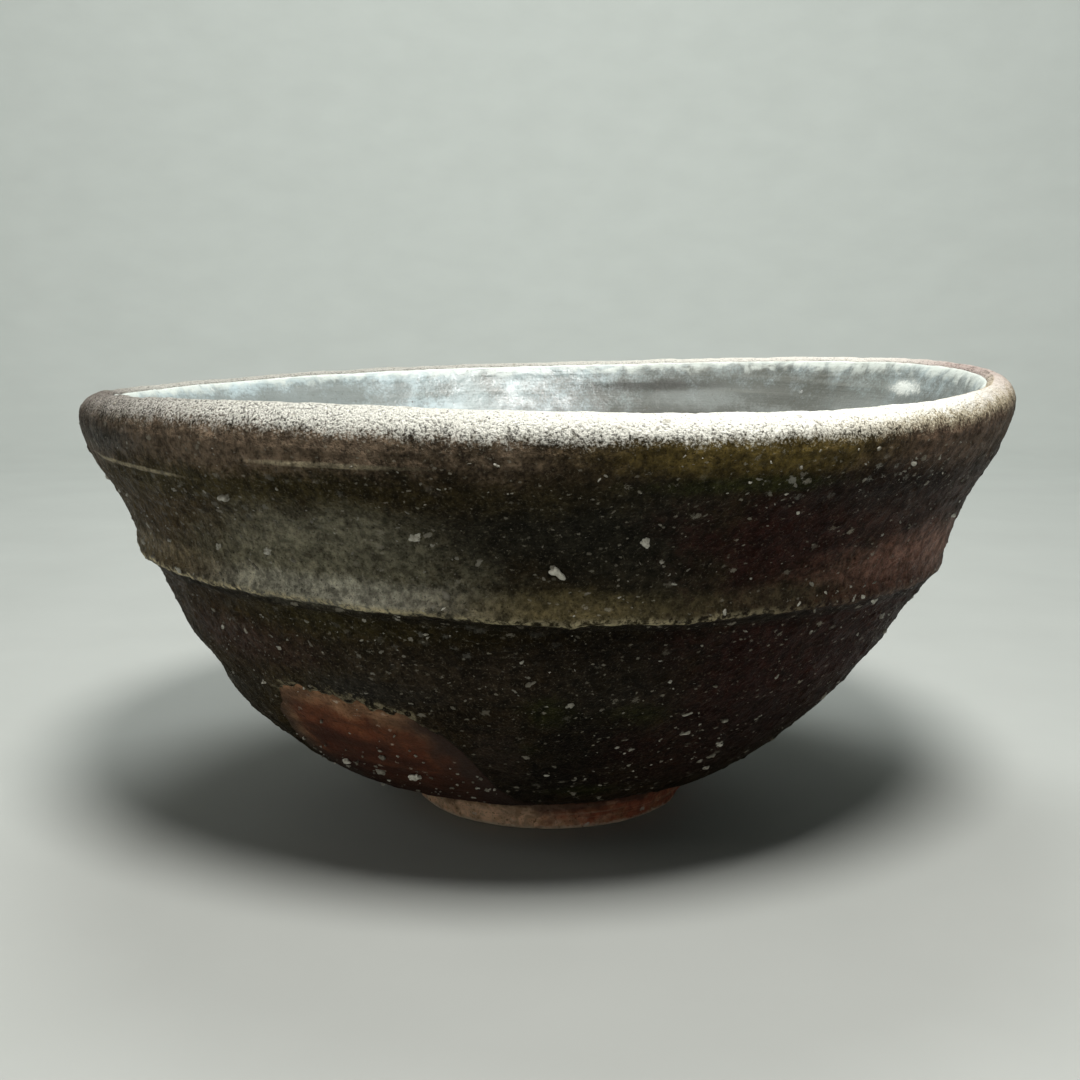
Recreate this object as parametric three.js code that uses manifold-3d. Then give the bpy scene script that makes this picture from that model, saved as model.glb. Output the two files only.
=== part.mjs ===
// Matcha bowl: a wheel-thrown stoneware tea bowl with a turned-out lip, a throwing ridge round its
// waist, a foot ring luted on underneath, a coat of ash glaze outside, a coat of pale glaze inside,
// and feldspar grains that came to the surface in the kiln.
// Millimetres, +Z up. The origin is on the surface that the foot stands on, at the middle of the
// bowl's outline. A turn of 0 degrees faces -Y, and a turn of 90 degrees faces +X.
import * as THREE from 'three';
import { mergeVertices } from 'three/addons/utils/BufferGeometryUtils.js';
import Module from 'manifold-3d';

const wasm = await Module();
wasm.setup();

// ---------------------------------------------------------------- driving dimensions
const RIM_HEIGHT = 66.4;        // crest of the clay lip above the foot, on average
const RIDGE_HEIGHT = 41.5;      // edge of the throwing ridge
const FLOOR_HEIGHT = 8.9;       // clay floor inside the bowl
const UNDERSIDE_HEIGHT = 4.9;   // clay underside that the foot ring is luted to

const COAT = 0.5;               // thickness of each glaze coat
const GAP = 0.3;                // clearance between pieces that touch
const SEGMENTS = 60;            // sections round the bowl
const CLOSEST_ROWS = 0.12;      // mesh rows stay this far apart, in stations of the outline

const FOOT_OUTER = 21.7;        // radius of the foot's outer resting edge
const FOOT_INNER = 16.8;        // radius of the foot's inner resting edge
const FOOT_HEIGHT = UNDERSIDE_HEIGHT - GAP;
const FOOT_SHIFT = 0.6;         // the foot sits this far towards +X of the lip's middle

// The hand-thrown irregularities, each as [waves per turn, height, turn of its crest in degrees].
const RIM_WAVES = [[1, 1.38, 99], [2, 0.81, -50], [3, 0.41, -26]];
const RIDGE_WAVE = [1, 1.3, -80];
const ROUNDNESS_WAVE = [2, 0.45, 45];
const RIDGE_WAVE_REACH = 9;     // the ridge's tilt fades out this far above and below it
const LEAN = 2.5;               // the underside stands this far towards -X of the lip

// Outline of the clay body, [radius, height], from the axis under the floor, up the outside, over
// the lip and down the inside to the axis again.
const OUTLINE = [
  [0, UNDERSIDE_HEIGHT], [15, UNDERSIDE_HEIGHT], [22.6, UNDERSIDE_HEIGHT],
  [27.3, 7.0], [33.0, 9.1], [41.1, 14.9], [47.9, 21.6], [53.9, 29.6], [57.5, 36.2],
  [59.6, 40.0], [61.6, RIDGE_HEIGHT], [62.1, 44.4], [63.2, 47.9], [65.3, 52.9], [68.2, 57.9],
  [70.0, 62.2], [70.2, 64.4], [69.3, 65.9], [68.0, RIM_HEIGHT],
  [66.9, 65.6], [65.8, 63.4], [63.4, 58.2], [58.8, 48.6], [55.8, 39.6], [49.7, 28.5],
  [40.6, 18.9], [27.3, 12.4], [13, 9.4], [0, FLOOR_HEIGHT],
];
const WALL_FOOT = 2;            // station of the outline where the outer wall starts
const CREST = 18;               // station of the lip's crest
const OUTSIDE_COAT_END = CREST + 0.3;
const INSIDE_COAT_START = CREST + 0.75;
const LAST = OUTLINE.length - 1;

// The outer glaze stops above the foot, and a finger's width higher over the bare patch.
const GLAZE_LINE = 7.8;
const BARE_PATCH = { rise: 19.5, from: [-104, -78], to: [-22, 2] };

// The larger feldspar grains: turn in degrees, height, and length along the throwing lines.
const GRAINS = [
  [1.8, 48.3, 2.8], [10.4, 52.5, 1.5], [-13, 52.3, 1.4], [-35, 56.3, 2.2], [-31.7, 48.2, 1.6],
  [-40, 47.6, 1.4], [-44, 28.6, 2.0], [-39.3, 15.2, 1.7], [-22.9, 14.8, 1.7], [36.7, 15.2, 1.5],
  [4.6, 30.0, 1.3], [62, 34, 1.6], [95, 53, 2.0], [128, 27, 1.7], [156, 48, 2.4],
  [190, 19, 1.6], [214, 55, 1.5], [247, 36, 2.1],
];
const GRAIN_WIDTH = 0.62;       // a grain's width up the wall, as a share of its length
const GRAIN_THICKNESS = 0.5;    // its thickness through the wall, as a share of its length
const GRAIN_KNOCKS = 0.12;      // how far its corners are knocked in or out, as a share of its radius
const GRAIN_SUNK = 0.35;        // share of its thickness that is under the surface

// ---------------------------------------------------------------- materials
function material(color, roughness) {
  return new THREE.MeshStandardMaterial({ color, roughness, metalness: 0 });
}

const bareClay = material('#7a4b30', 0.85);
const footClay = material('#a8784f', 0.9);
const ashGlaze = material('#3d372b', 0.6);
const paleGlaze = material('#a3acab', 0.35);
const feldspar = material('#dcd9cd', 0.55);

// ---------------------------------------------------------------- the thrown shape
const outlineCurve = new THREE.CatmullRomCurve3(
  OUTLINE.map(([radius, height]) => new THREE.Vector3(radius, height, 0)), false, 'centripetal');

function degrees(angle) {
  return angle * Math.PI / 180;
}

function wave([count, size, crest], turn) {
  return size * Math.cos(count * degrees(turn - crest));
}

// A point of the outline at a station, moved outwards by an offset: x is its radius, y its height.
function outlinePoint(station, offset) {
  const share = THREE.MathUtils.clamp(station / LAST, 0, 1);
  const point = outlineCurve.getPoint(share);
  const along = outlineCurve.getTangent(share);
  const onAxis = share === 0 || share === 1;
  const radius = onAxis ? 0 : Math.max(point.x + offset * along.y, 0);
  const rise = onAxis ? -Math.sign(along.x) * offset : -along.x * offset;
  return new THREE.Vector2(radius, point.y + rise);
}

// The station on the outer wall at a height, by halving the stretch that holds it.
function stationAt(height) {
  let low = WALL_FOOT;
  let high = CREST;
  for (let i = 0; i < 30; i += 1) {
    const middle = (low + high) / 2;
    if (outlinePoint(middle, 0).y < height) low = middle;
    else high = middle;
  }
  return low;
}

// Where a point of the true round shape ends up on the hand-thrown one.
function thrown(turn, radius, height) {
  const upper = THREE.MathUtils.clamp((height - RIDGE_HEIGHT) / (RIM_HEIGHT - RIDGE_HEIGHT), 0, 1.1);
  const rimRise = RIM_WAVES.reduce((sum, each) => sum + wave(each, turn), 0) * upper ** 1.5;
  const fromRidge = (height - RIDGE_HEIGHT) / RIDGE_WAVE_REACH;
  const inWall = THREE.MathUtils.smoothstep(radius, 20, 50);
  const ridgeRise = wave(RIDGE_WAVE, turn) * Math.exp(-fromRidge * fromRidge) * inWall;
  const grown = radius + wave(ROUNDNESS_WAVE, turn) * height / RIM_HEIGHT * inWall;
  const lean = LEAN * (1 - height / RIM_HEIGHT);
  const angle = degrees(turn);
  return new THREE.Vector3(
    grown * Math.sin(angle) - lean, -grown * Math.cos(angle), height + rimRise + ridgeRise);
}

// ---------------------------------------------------------------- mesh builders
// Joins a ring of sections, each a row of points, into one closed body. A closed section is a loop,
// and an open one starts and ends on the axis.
function joinSections(sections, closedSection) {
  const count = sections[0].length;
  const positions = [];
  const index = [];
  sections.forEach((section) => section.forEach((point) => positions.push(...point)));
  const cells = closedSection ? count : count - 1;
  for (let i = 0; i < sections.length; i += 1) {
    const here = i * count;
    const next = ((i + 1) % sections.length) * count;
    for (let j = 0; j < cells; j += 1) {
      const up = (j + 1) % count;
      const touchesAxisBelow = !closedSection && j === 0;
      const touchesAxisAbove = !closedSection && j === cells - 1;
      if (!touchesAxisBelow) index.push(here + j, next + j, next + up);
      if (!touchesAxisAbove) index.push(here + j, next + up, here + up);
    }
  }
  const geometry = new THREE.BufferGeometry();
  geometry.setAttribute('position', new THREE.Float32BufferAttribute(positions, 3));
  geometry.setIndex(index);
  return mergeVertices(geometry, 1e-4);
}

// The mesh rows of a stretch of the outline: its two ends and each station between them.
function stations(from, to) {
  const between = OUTLINE.keys().filter((station) => station > from && station < to);
  return [from, ...between, to];
}

function turns() {
  return Array.from({ length: SEGMENTS }, (_, i) => i * 360 / SEGMENTS);
}

function thrownRow(turn, row, offset) {
  return row.map((station) => {
    const point = outlinePoint(station, offset);
    return thrown(turn, point.x, point.y);
  });
}

// ---------------------------------------------------------------- cutting with manifold
function toSolid(geometry) {
  const plain = geometry.clone();
  plain.deleteAttribute('normal');
  plain.deleteAttribute('uv');
  const merged = mergeVertices(plain, 1e-4);
  return new wasm.Manifold(new wasm.Mesh({
    numProp: 3,
    vertProperties: new Float32Array(merged.attributes.position.array),
    triVerts: new Uint32Array(merged.index.array),
  }));
}

function toGeometry(solid) {
  const mesh = solid.getMesh();
  const geometry = new THREE.BufferGeometry();
  geometry.setAttribute('position', new THREE.BufferAttribute(mesh.vertProperties, 3));
  geometry.setIndex(new THREE.BufferAttribute(mesh.triVerts, 1));
  return geometry;
}

function cutAll(geometry, cutters) {
  return toGeometry(cutters.reduce((solid, cutter) => solid.subtract(toSolid(cutter)), toSolid(geometry)));
}

// ---------------------------------------------------------------- the pieces
function clayBody() {
  const row = stations(0, LAST);
  return joinSections(turns().map((turn) => thrownRow(turn, row, 0)), false);
}

function footRing() {
  const chamfer = 0.7;
  const flare = 1.1;
  const section = [
    [FOOT_INNER, 0], [FOOT_OUTER - chamfer, 0], [FOOT_OUTER, chamfer],
    [FOOT_OUTER + flare, FOOT_HEIGHT], [FOOT_INNER - flare, FOOT_HEIGHT],
    [FOOT_INNER - chamfer, chamfer], [FOOT_INNER, 0],
  ];
  const profile = section.map(([radius, height]) => new THREE.Vector2(radius, height));
  return new THREE.LatheGeometry(profile, SEGMENTS).rotateX(Math.PI / 2);
}

function glazeLine(turn) {
  const facing = ((turn + 180) % 360) - 180;
  const { rise, from, to } = BARE_PATCH;
  const rising = THREE.MathUtils.smoothstep(facing, ...from);
  const falling = 1 - THREE.MathUtils.smoothstep(facing, ...to);
  return GLAZE_LINE + rise * rising * falling;
}

// The outer coat hangs from the lip down to the glaze line, as a sleeve of even thickness.
function outerGlaze() {
  const fullRow = stations(stationAt(GLAZE_LINE), OUTSIDE_COAT_END);
  const sections = turns().map((turn) => {
    const start = stationAt(glazeLine(turn));
    const row = fullRow.map((station, i) => Math.max(station, start + i * CLOSEST_ROWS));
    return [...thrownRow(turn, row, GAP + COAT), ...thrownRow(turn, row, GAP).reverse()];
  });
  return joinSections(sections, true);
}

// The inner coat lines the bowl from just inside the crest to the middle of the floor.
function innerGlaze() {
  const row = stations(INSIDE_COAT_START, LAST);
  const sections = turns().map((turn) => [
    ...thrownRow(turn, row, GAP).reverse(), ...thrownRow(turn, row, GAP + COAT)]);
  return joinSections(sections, false);
}

// A grain is a rounded lump, longest along the throwing lines and flattest through the wall.
function grainGeometry(length, clearance, seed) {
  const ball = new THREE.IcosahedronGeometry(0.5, 1);
  ball.deleteAttribute('normal');
  ball.deleteAttribute('uv');
  const lump = mergeVertices(ball);
  const position = lump.attributes.position;
  for (let i = 0; i < position.count; i += 1) {
    const knock = 1 + GRAIN_KNOCKS * Math.sin(seed * 5 + i * 2.4);
    position.setXYZ(i, position.getX(i) * knock, position.getY(i) * knock, position.getZ(i) * knock);
  }
  const extra = 2 * clearance;
  return lump.scale(length + extra, length * GRAIN_WIDTH + extra, length * GRAIN_THICKNESS + extra);
}

// Moves a grain to its place on the surface: its length lies round the bowl, its thickness points out.
function placeGrain(geometry, turn, height, length) {
  const onClay = height < glazeLine(turn);
  const surface = onClay ? 0 : GAP + COAT;
  const offset = surface + length * GRAIN_THICKNESS * (0.5 - GRAIN_SUNK);
  const station = stationAt(height);
  const at = (side, along) => {
    const point = outlinePoint(station + along, offset);
    return thrown(turn + side, point.x, point.y);
  };
  const round = at(1, 0).sub(at(-1, 0)).normalize();
  const upwards = at(0, 0.1).sub(at(0, -0.1)).normalize();
  const outwards = round.clone().cross(upwards).normalize();
  const up = outwards.clone().cross(round);
  const place = new THREE.Matrix4().makeBasis(round, up, outwards).setPosition(at(0, 0));
  return geometry.applyMatrix4(place);
}

// Every grain in its place, or, with a clearance round each, the pockets they sit in.
function grains(clearance) {
  return GRAINS.map(([turn, height, length], i) => (
    placeGrain(grainGeometry(length, clearance, i), turn, height, length)));
}

// ---------------------------------------------------------------- assembly
const bowl = new THREE.Group();
const pockets = grains(GAP);

function addPiece(name, geometry, finish) {
  const piece = new THREE.Mesh(geometry, finish);
  piece.name = name;
  bowl.add(piece);
  return piece;
}

addPiece('clay_body', cutAll(clayBody(), pockets), bareClay);
addPiece('foot_ring', footRing(), footClay).position.x = FOOT_SHIFT;
addPiece('outer_glaze', cutAll(outerGlaze(), pockets), ashGlaze);
addPiece('inner_glaze', innerGlaze(), paleGlaze);
grains(0).forEach((geometry, i) => {
  addPiece(`feldspar_grain_${String(i + 1).padStart(2, '0')}`, geometry, feldspar);
});

// Put the origin in the middle of the outline, seen from above.
const middle = new THREE.Box3().setFromObject(bowl).getCenter(new THREE.Vector3());
bowl.position.set(-middle.x, -middle.y, 0);

export default bowl;
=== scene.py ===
import math

import bmesh
import bpy
import numpy as np
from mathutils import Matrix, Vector, noise


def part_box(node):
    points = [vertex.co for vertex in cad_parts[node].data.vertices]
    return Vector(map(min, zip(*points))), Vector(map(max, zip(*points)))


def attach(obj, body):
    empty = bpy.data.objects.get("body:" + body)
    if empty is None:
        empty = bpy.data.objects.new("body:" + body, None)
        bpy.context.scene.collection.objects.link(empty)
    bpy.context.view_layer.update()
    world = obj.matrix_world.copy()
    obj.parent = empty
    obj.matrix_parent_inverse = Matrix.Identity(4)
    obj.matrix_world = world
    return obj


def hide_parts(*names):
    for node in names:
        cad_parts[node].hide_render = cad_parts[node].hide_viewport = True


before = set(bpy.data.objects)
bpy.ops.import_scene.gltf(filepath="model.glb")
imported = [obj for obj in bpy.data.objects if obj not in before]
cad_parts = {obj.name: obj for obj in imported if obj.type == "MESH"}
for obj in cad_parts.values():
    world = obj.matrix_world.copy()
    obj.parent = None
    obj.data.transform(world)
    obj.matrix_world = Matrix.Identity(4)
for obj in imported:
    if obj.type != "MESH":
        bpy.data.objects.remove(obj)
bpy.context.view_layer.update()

MM = 0.001

# ---------------------------------------------------------------- Where the bowl stands
# The bowl was thrown round one upright axis, and its foot ring was luted on a little to one side.
# Turns are in degrees round that axis: 0 faces the front (-Y), 90 faces +X. Heights are above the foot.
FOOT_SHIFT = 0.6 * MM
foot_low, foot_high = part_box("foot_ring")
AXIS = Vector(((foot_low.x + foot_high.x) / 2 - FOOT_SHIFT, (foot_low.y + foot_high.y) / 2, 0))

# The camera looks a little down at the front of the bowl, as a guest sees it across a low stand.
CAMERA_PLACE = Vector((-0.8, -224.2, 78.2)) * MM
CAMERA_DIP = 9.39
LENS_MM = 46.67
camera_data = bpy.data.cameras.new("camera")
camera_data.sensor_width = 36
camera_data.lens = LENS_MM
camera_data.clip_start = 0.01
camera = bpy.data.objects.new("camera", camera_data)
camera.location = AXIS + CAMERA_PLACE
camera.rotation_euler = (math.radians(90 - CAMERA_DIP), 0, 0)
bpy.context.scene.collection.objects.link(camera)
bpy.context.scene.camera = camera


# ---------------------------------------------------------------- The studio
# A pale paper cove stands all round the bowl, flat under it and curving up into a low wall. One small
# lamp hangs over the front of the lip, three dim ones fill the shade and one lights the paper behind.
def add_mesh(name, points, faces):
    """A new mesh object from points in metres and faces as lists of their numbers."""
    mesh = bpy.data.meshes.new(name)
    mesh.from_pydata([tuple(p) for p in points], [], [tuple(f) for f in faces])
    mesh.polygons.foreach_set("use_smooth", [True] * len(mesh.polygons))
    mesh.update()
    made = bpy.data.objects.new(name, mesh)
    bpy.context.scene.collection.objects.link(made)
    return made


def plug(socket, value):
    """Links a node's output to a socket, or sets the socket's own value."""
    if isinstance(value, bpy.types.NodeSocket):
        socket.id_data.links.new(value, socket)
    else:
        socket.default_value = value


def add_node(tree, kind, inputs=None, **settings):
    node = tree.nodes.new("ShaderNode" + kind)
    for setting, value in settings.items():
        setattr(node, setting, value)
    for socket, value in (inputs or {}).items():
        plug(node.inputs[socket], value)
    return node


def new_material(name, **surface):
    """A material with one Principled shader, whose plain sockets are set by name. Gives all three."""
    material = bpy.data.materials.new(name)
    material.use_nodes = True
    tree = material.node_tree
    shader = tree.nodes["Principled BSDF"]
    for socket, value in surface.items():
        shader.inputs[socket.replace("_", " ")].default_value = value
    return material, tree, shader


COVE_FLAT = 0.55
COVE_BEND = 0.45
COVE_TOP = 1.3
COVE_SIDES = 96

bend = [math.radians(a) for a in range(0, 91, 6)]
cove_section = [(0.02, 0), (0.2, 0)]
cove_section += [(COVE_FLAT + COVE_BEND * math.sin(a), COVE_BEND * (1 - math.cos(a))) for a in bend]
cove_section += [(COVE_FLAT + COVE_BEND, COVE_TOP)]
cove_points = [(0, 0, 0)]
for side in range(COVE_SIDES):
    angle = 2 * math.pi * side / COVE_SIDES
    cove_points += [(r * math.cos(angle), r * math.sin(angle), z) for r, z in cove_section]
cove_faces = []
for side in range(COVE_SIDES):
    here = 1 + side * len(cove_section)
    there = 1 + (side + 1) % COVE_SIDES * len(cove_section)
    cove_faces.append((0, here, there))
    cove_faces += [(here + i, here + i + 1, there + i + 1, there + i) for i in range(len(cove_section) - 1)]
cove = add_mesh("studio_cove", cove_points, cove_faces)
paper, paper_tree, paper_shader = new_material("studio_paper", Roughness=0.85)
fibre = add_node(paper_tree, "TexNoise", {"Scale": 60.0, "Detail": 4.0})
paper_tint = add_node(paper_tree, "ValToRGB", {"Fac": fibre.outputs["Fac"]})
paper_tint.color_ramp.elements[0].color = (0.29, 0.30, 0.285, 1)
paper_tint.color_ramp.elements[1].color = (0.33, 0.34, 0.325, 1)
plug(paper_shader.inputs["Base Color"], paper_tint.outputs["Color"])
cove.data.materials.append(paper)

# Each lamp's place, what it is aimed at, its width, its power and its colour.
LAMPS = {
    "key_lamp": ((0.04, -0.20, 0.42), (0.01, 0, 0.05), 0.13, 3.0, (1.0, 0.99, 0.96)),
    "back_lamp": ((-0.03, 0.16, 0.50), (0, 0.02, 0.05), 0.25, 1.1, (0.97, 1.0, 0.99)),
    "side_lamp": ((-0.45, -0.30, 0.36), (-0.02, 0, 0.04), 0.25, 0.4, (1.0, 0.96, 0.90)),
    "low_lamp": ((-0.10, -0.62, 0.10), (0, 0, 0.0), 0.30, 0.28, (1.0, 0.95, 0.88)),
    "wall_lamp": ((0.0, 0.35, 0.85), (0.0, 1.0, 0.45), 0.5, 11.5, (0.95, 1.0, 0.97)),
}
for name, (place, aim, width, power, tint) in LAMPS.items():
    light = bpy.data.lights.new(name, "AREA")
    light.shape = "DISK"
    light.size = width
    light.energy = power
    light.color = tint
    lamp = bpy.data.objects.new(name, light)
    lamp.location = place
    lamp.rotation_euler = (Vector(aim) - Vector(place)).to_track_quat("-Z", "Y").to_euler()
    lamp.visible_camera = False
    bpy.context.scene.collection.objects.link(lamp)
world = bpy.data.worlds.new("studio_air")
world.use_nodes = True
air = world.node_tree.nodes["Background"].inputs
air["Color"].default_value = (0.93, 1.0, 0.97, 1)
air["Strength"].default_value = 0.09
bpy.context.scene.world = world
bpy.context.scene.view_settings.view_transform = "Standard"

# ---------------------------------------------------------------- The thrown wall
# The clay body: coarse iron-bearing stoneware thrown in one piece, from the floor up the belly, over
# a throwing ridge left by the fingers, and out to a rolled lip. It shows bare where the glaze missed.
RIM_HEIGHT = 66.4
RIDGE_HEIGHT = 41.5
UNDERSIDE_HEIGHT = 4.9
CLAY_OUTLINE = [
    (0, UNDERSIDE_HEIGHT), (15, UNDERSIDE_HEIGHT), (22.6, UNDERSIDE_HEIGHT),
    (27.3, 7.0), (33.0, 9.1), (41.1, 14.9), (47.9, 21.6), (53.9, 29.6), (57.5, 36.2),
    (59.6, 40.0), (61.6, RIDGE_HEIGHT), (62.1, 44.4), (63.2, 47.9), (65.3, 52.9), (68.2, 57.9),
    (70.0, 62.2), (70.2, 64.4), (69.3, 65.9), (68.0, RIM_HEIGHT),
    (66.9, 65.6), (65.8, 63.4), (63.4, 58.2), (58.8, 48.6), (55.8, 39.6), (49.7, 28.5),
    (40.6, 18.9), (27.3, 12.4), (13, 9.4), (0, 8.9),
]
FOOT_STATION = 2
CREST_STATION = 18
LAST_STATION = len(CLAY_OUTLINE) - 1
RIM_WAVES = [(1, 1.38, 99), (2, 0.81, -50), (3, 0.41, -26)]
RIDGE_WAVE = (1, 1.3, -80)
ROUNDNESS_WAVE = (2, 0.45, 45)
RIDGE_WAVE_REACH = 9
DENT_TURN = -90
DENT_HEIGHT = 26.5
DENT_DEPTH = 1.7
DENT_HALF_TURN = 30
DENT_HALF_HEIGHT = 3.4
LEAN = 2.5


def smooth_outline(corners, per_stretch=40):
    """The smooth curve through the corners, each stretch of it cut evenly, as rows of radius and height."""
    corners = np.array(corners, float)
    held = np.vstack([2 * corners[0] - corners[1], corners, 2 * corners[-1] - corners[-2]])
    gaps = np.sqrt(np.linalg.norm(np.diff(held, axis=0), axis=1))[:, None]
    a, b, c = gaps[:-2], gaps[1:-1], gaps[2:]
    before, start, end, after = held[:-3], held[1:-2], held[2:-1], held[3:]
    leave = ((start - before) / a - (end - before) / (a + b) + (end - start) / b) * b
    arrive = ((end - start) / b - (after - start) / (b + c) + (after - end) / c) * b
    t = np.linspace(0, 1, per_stretch, endpoint=False)[:, None, None]
    curve = (
        (2 * t**3 - 3 * t**2 + 1) * start
        + (t**3 - 2 * t**2 + t) * leave
        + (3 * t**2 - 2 * t**3) * end
        + (t**3 - t**2) * arrive
    )
    return np.vstack([curve.transpose(1, 0, 2).reshape(-1, 2), corners[-1:]])


outline = smooth_outline(CLAY_OUTLINE)
outline_station = np.linspace(0, LAST_STATION, len(outline))
outline_along = np.gradient(outline, axis=0)
outline_along /= np.linalg.norm(outline_along, axis=1)[:, None]


def on_outline(values, station):
    return np.interp(station, outline_station, values)


def wall_section(station, offset):
    """Radius and height of the clay's outline at a station, moved out through the wall by an offset."""
    radius = on_outline(outline[:, 0], station) + offset * on_outline(outline_along[:, 1], station)
    height = on_outline(outline[:, 1], station) - offset * on_outline(outline_along[:, 0], station)
    return np.maximum(radius, 0), height


def station_at(height):
    """The station on the outside of the wall at a height."""
    outside = (outline_station >= FOOT_STATION) & (outline_station <= CREST_STATION)
    return np.interp(height, outline[outside, 1], outline_station[outside])


def ease(value, start, end):
    """0 before start, 1 after end, and smooth between them."""
    t = np.clip((value - start) / (end - start), 0, 1)
    return t * t * (3 - 2 * t)


def hump(value, middle, reach):
    return np.exp(-(((value - middle) / reach) ** 2))


def turn_gap(turn, middle):
    """How far one turn is from another, the short way round, in degrees."""
    return (turn - middle + 180) % 360 - 180


def wave(kind, turn):
    count, size, crest = kind
    return size * np.cos(count * np.radians(turn - crest))


def around(turn, radius, height):
    """A point at a turn, a distance from the axis and a height."""
    angle = np.radians(turn)
    return np.stack([radius * np.sin(angle), -radius * np.cos(angle), height + 0 * angle], -1)


def thrown(turn, radius, height):
    """Where a point of the true round shape ends up on the thrown one, in millimetres from the axis."""
    upper = np.clip((height - RIDGE_HEIGHT) / (RIM_HEIGHT - RIDGE_HEIGHT), 0, 1.1)
    rim_rise = sum(wave(each, turn) for each in RIM_WAVES) * upper**1.5
    in_wall = ease(radius, 20, 50)
    ridge_rise = wave(RIDGE_WAVE, turn) * hump(height, RIDGE_HEIGHT, RIDGE_WAVE_REACH) * in_wall
    dent = DENT_DEPTH * hump(turn_gap(turn, DENT_TURN), 0, DENT_HALF_TURN)
    dent = dent * hump(height, DENT_HEIGHT, DENT_HALF_HEIGHT)
    grown = radius + (wave(ROUNDNESS_WAVE, turn) * height / RIM_HEIGHT - dent) * in_wall
    lean = LEAN * (1 - height / RIM_HEIGHT)
    placed = around(turn, grown, height + rim_rise + ridge_rise)
    placed[..., 0] -= lean
    return placed


SEED_STEP = 17.3


def lumps(places, size, seed, octaves=1):
    """Natural unevenness from about -1 to 1. size is a lump's size, or one size for each direction."""
    scaled = (places / np.array(size) + seed * SEED_STEP).reshape(-1, 3)
    values = [noise.fractal(place, 1.0, 2.0, octaves) for place in scaled.tolist()]
    return np.array(values).reshape(places.shape[:-1])


def surface_normals(points):
    """Outward normals of a grid of points, turns by rows, that closes on itself round the bowl."""
    round_it = np.roll(points, -1, axis=0) - np.roll(points, 1, axis=0)
    up_it = np.gradient(points, axis=1)
    normal = np.cross(round_it, up_it)
    return normal / np.maximum(np.linalg.norm(normal, axis=-1, keepdims=True), 1e-9)


def wall_skin(turns, rows, offset, relief):
    """A grid of points on the wall, turns by rows, with its relief on it, and their heights up the wall."""
    turn = turns[:, None] + 0 * rows
    stations = rows + 0 * turn
    radius, height = wall_section(stations, offset)
    places = thrown(turn, radius, height)
    depth = relief(turn, height, places)
    return places + surface_normals(places) * depth[..., None], height


def skin_mesh(name, points, closed_section, flat_rows=(), **attributes):
    """Joins a grid of points, turns by rows, round the bowl. A closed section is a loop, and an open one
    ends on the axis. The bands that start at the flat rows keep a hard edge."""
    turn_count, row_count = points.shape[:2]
    number = np.arange(turn_count * row_count).reshape(turn_count, row_count)
    beside = np.roll(number, -1, axis=0)
    if closed_section:
        above, above_beside = np.roll(number, -1, axis=1), np.roll(beside, -1, axis=1)
        faces = np.stack([number, beside, above_beside, above], -1).reshape(-1, 4).tolist()
    else:
        inner = [number[:, :-1], beside[:, :-1], beside[:, 1:], number[:, 1:]]
        faces = np.stack(inner, -1).reshape(-1, 4).tolist()
        bottom, top = number.size, number.size + 1
        faces += [(bottom, b, a) for a, b in zip(number[:, 0].tolist(), beside[:, 0].tolist())]
        faces += [(top, a, b) for a, b in zip(number[:, -1].tolist(), beside[:, -1].tolist())]
    flat = points.reshape(-1, 3)
    if not closed_section:
        flat = np.vstack([flat, points[:, 0].mean(0), points[:, -1].mean(0)])
    piece = add_mesh(name, flat * MM + np.array(AXIS), faces)
    if flat_rows:
        hard = np.isin(np.arange(len(faces)) % row_count, flat_rows)
        piece.data.polygons.foreach_set("use_smooth", ~hard)
    for label, values in attributes.items():
        flat_values = values.reshape(-1)
        if not closed_section:
            flat_values = np.append(flat_values, [values[:, 0].mean(), values[:, -1].mean()])
        layer = piece.data.attributes.new(label, "FLOAT", "POINT")
        layer.data.foreach_set("value", flat_values.astype(np.float32))
    return piece


def even_turns(count):
    return np.arange(count) * 360 / count - 180


def finish_piece(piece, material, slot, *nodes):
    """Gives a piece its material, and its body and nodes in the frame. The slot is not used."""
    piece.data.materials.append(material)
    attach(piece, "root")
    if nodes:
        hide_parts(*nodes)


# The glaze stops above the foot, and much higher over the bare patch on the left, where the potter's
# fingers held the bowl in the glaze bucket. Turns and heights of that upper edge, from left to right:
GLAZE_LINE = 7.8
PATCH_EDGE = [
    (-180, GLAZE_LINE), (-66, GLAZE_LINE), (-57, 9.5), (-51, 16), (-46, 22.5), (-42, 27.0), (-37, 28.0),
    (-30, 27.7), (-22, 26.6), (-16, 24.8), (-12.5, 21.8), (-10, 17.5), (-7, 12.5), (-3, 9),
    (3, GLAZE_LINE), (180, GLAZE_LINE),
]
COAT_BACK = 0.3
COAT_FACE = 0.8


def glaze_line(turn):
    """The height at which the outer glaze stops, with its ragged edge."""
    angle = np.radians(turn)
    ring = np.stack([np.sin(angle), np.cos(angle), 0 * angle], -1) * 50
    ragged = 0.6 * lumps(ring, 5.0, 1, 2) + 0.7 * lumps(ring, 1.3, 2, 2)
    edge_turn, edge_height = zip(*PATCH_EDGE)
    plain = np.interp(turn, edge_turn, edge_height)
    return plain + ragged * (0.6 + 0.6 * ease(plain, 12, 22))


def ridge_line(turn):
    """The height of the ridge's crisp lower edge, which wanders a little and dips towards the front."""
    angle = np.radians(turn)
    ring = np.stack([np.sin(angle), np.cos(angle), 0 * angle], -1) * 60
    wander = 0.35 * lumps(ring, 8.0, 7) + 0.22 * lumps(ring, 2.2, 8, 2)
    return 42.0 - 0.8 * hump(turn_gap(turn, 2), 0, 18) + wander


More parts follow.
